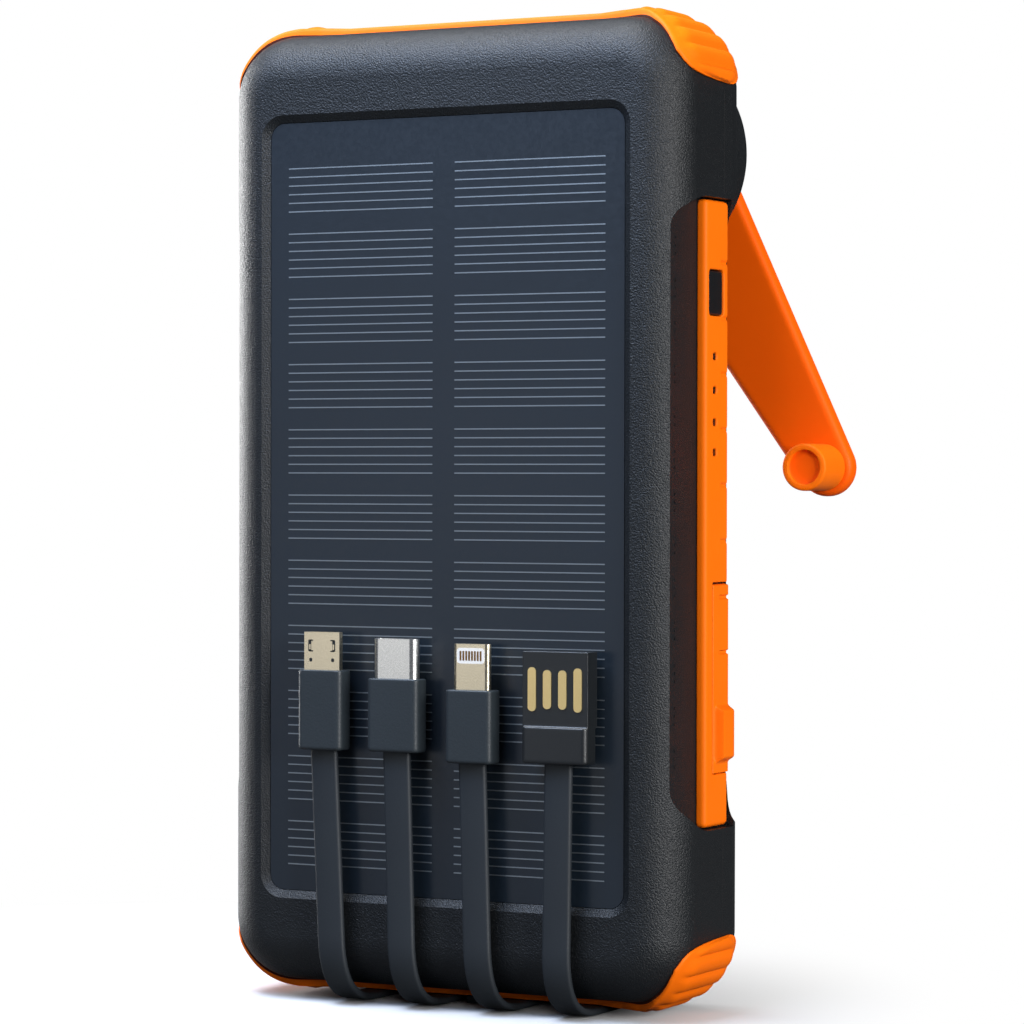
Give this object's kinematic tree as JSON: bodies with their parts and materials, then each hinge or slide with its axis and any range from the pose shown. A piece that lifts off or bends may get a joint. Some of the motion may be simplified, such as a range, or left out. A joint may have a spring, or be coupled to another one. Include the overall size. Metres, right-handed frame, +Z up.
{
  "type": "hand crank phone charger",
  "caption": "Rugged upright power bank with a solar face, folding hand crank generator on the back, ridged corner bumpers and built-in flat charging leads.",
  "frame": {"origin": "on the floor plane under the middle of the body, on the foot of the strain relief bar", "axes": "+Z up, -Y out of the solar face, +Y out of the crank side, +X to the right seen from the solar face"},
  "size_m": [0.1011, 0.0484, 0.1673],
  "materials": {
    "shell_plastic": "moulded ABS with a fine leather grain",
    "orange_tpu": "moulded TPU, satin",
    "capacitor_can": "drawn can",
    "steel": "turned steel",
    "component_black": "epoxy mould compound",
    "orange_plastic": "moulded nylon, satin",
    "bronze": "sintered bronze",
    "gear_plastic": "moulded POM",
    "black_plastic": "moulded ABS, satin",
    "cell_foil": "laminated pouch foil",
    "gear_plate": "pressed steel",
    "copper_coils": "enamelled copper wire",
    "clear_lens": "clear polycarbonate",
    "circuit_board": "glass fibre board",
    "plug_grip": "TPE overmould, matt",
    "lead_jacket": "extruded TPE jacket, matt",
    "plug_steel": "nickel plated steel",
    "panel_laminate": "laminated solar panel",
    "gold_contact": "gold plated"
  },
  "bodies": {
    "body": {"back_shell": "shell_plastic", "bottom_bumper": "orange_tpu", "capacitors": "capacitor_can", "case_screws": "steel", "charge_chips": "component_black", "crank_bushing": "bronze", "crank_housing": "shell_plastic", "front_battery_cell": "cell_foil", "front_shell": "shell_plastic", "gear_plate_back": "gear_plate", "gear_plate_front": "gear_plate", "gearbox_posts": "steel", "generator_can": "steel", "generator_coils": "copper_coils", "inductor": "component_black", "left_rail": "orange_tpu", "light_pipes": "clear_lens", "main_board": "circuit_board", "micro_usb_grip": "plug_grip", "micro_usb_lead": "lead_jacket", "micro_usb_plug": "plug_steel", "port_cover_pin": "steel", "port_shims": "component_black", "rear_battery_cell": "cell_foil", "right_rail": "orange_tpu", "solar_panel": "panel_laminate", "status_leds": "clear_lens", "strain_relief_bar": "lead_jacket", "tablet_grip": "plug_grip", "tablet_lead": "lead_jacket", "tablet_plug": "plug_steel", "tact_switch": "component_black", "top_bumper": "orange_tpu", "torch_board": "circuit_board", "torch_leds": "clear_lens", "torch_lens": "clear_lens", "type_a_contacts": "gold_contact", "type_a_lead": "lead_jacket", "type_a_plug": "plug_grip", "type_c_grip": "plug_grip", "type_c_lead": "lead_jacket", "type_c_plug": "plug_steel", "usb_a_port": "plug_steel", "usb_c_port": "plug_steel"},
    "crank": {"crank_hub": "black_plastic", "crank_shaft": "steel", "crank_gear": "gear_plastic", "fold_pin": "steel"},
    "arm": {"crank_arm": "orange_plastic", "knob_pin": "steel"},
    "knob": {"crank_knob": "orange_plastic"},
    "gear_one": {"first_gear": "gear_plastic"},
    "gear_two": {"second_gear": "gear_plastic"},
    "rotor": {"generator_rotor": "steel", "generator_pinion": "gear_plastic"},
    "button": {"power_button": "black_plastic"},
    "cover": {"port_cover": "orange_tpu"}
  },
  "joints": [
    {"name": "crank_spin", "type": "hinge", "parent": "body", "child": "crank", "pos_m": [0.0208, 0.0228, 0.14465], "axis": [0, 1, 0], "continuous": true},
    {"name": "crank_fold", "type": "hinge", "parent": "crank", "child": "arm", "pos_m": [0.0208, 0.0273, 0.14465], "axis": [0.8623, 0, 0.5064], "range_deg": [0, 180]},
    {"name": "knob_spin", "type": "hinge", "parent": "arm", "child": "knob", "pos_m": [0.0521, 0.021, 0.09135], "axis": [0, 1, 0], "continuous": true},
    {"name": "first_gear_spin", "type": "hinge", "parent": "body", "child": "gear_one", "pos_m": [0.00371, 0.009, 0.13899], "axis": [0, 1, 0], "continuous": true},
    {"name": "second_gear_spin", "type": "hinge", "parent": "body", "child": "gear_two", "pos_m": [-0.01288, 0.007, 0.14314], "axis": [0, 1, 0], "continuous": true},
    {"name": "rotor_spin", "type": "hinge", "parent": "body", "child": "rotor", "pos_m": [-0.02792, 0, 0.135], "axis": [0, 1, 0], "continuous": true},
    {"name": "button_press", "type": "slide", "parent": "body", "child": "button", "axis": [-1, 0, 0], "range_m": [0, 0.0005], "stiffness_N_per_m": 800},
    {"name": "cover_open", "type": "hinge", "parent": "body", "child": "cover", "pos_m": [0.04145, 0.005, 0.071], "axis": [0, -1, 0], "range_deg": [0, 100]}
  ],
  "couplings": [
    {"joint": "first_gear_spin", "follows": "crank_spin", "ratio": -3},
    {"joint": "second_gear_spin", "follows": "crank_spin", "ratio": 8.4},
    {"joint": "rotor_spin", "follows": "crank_spin", "ratio": -23.52}
  ]
}
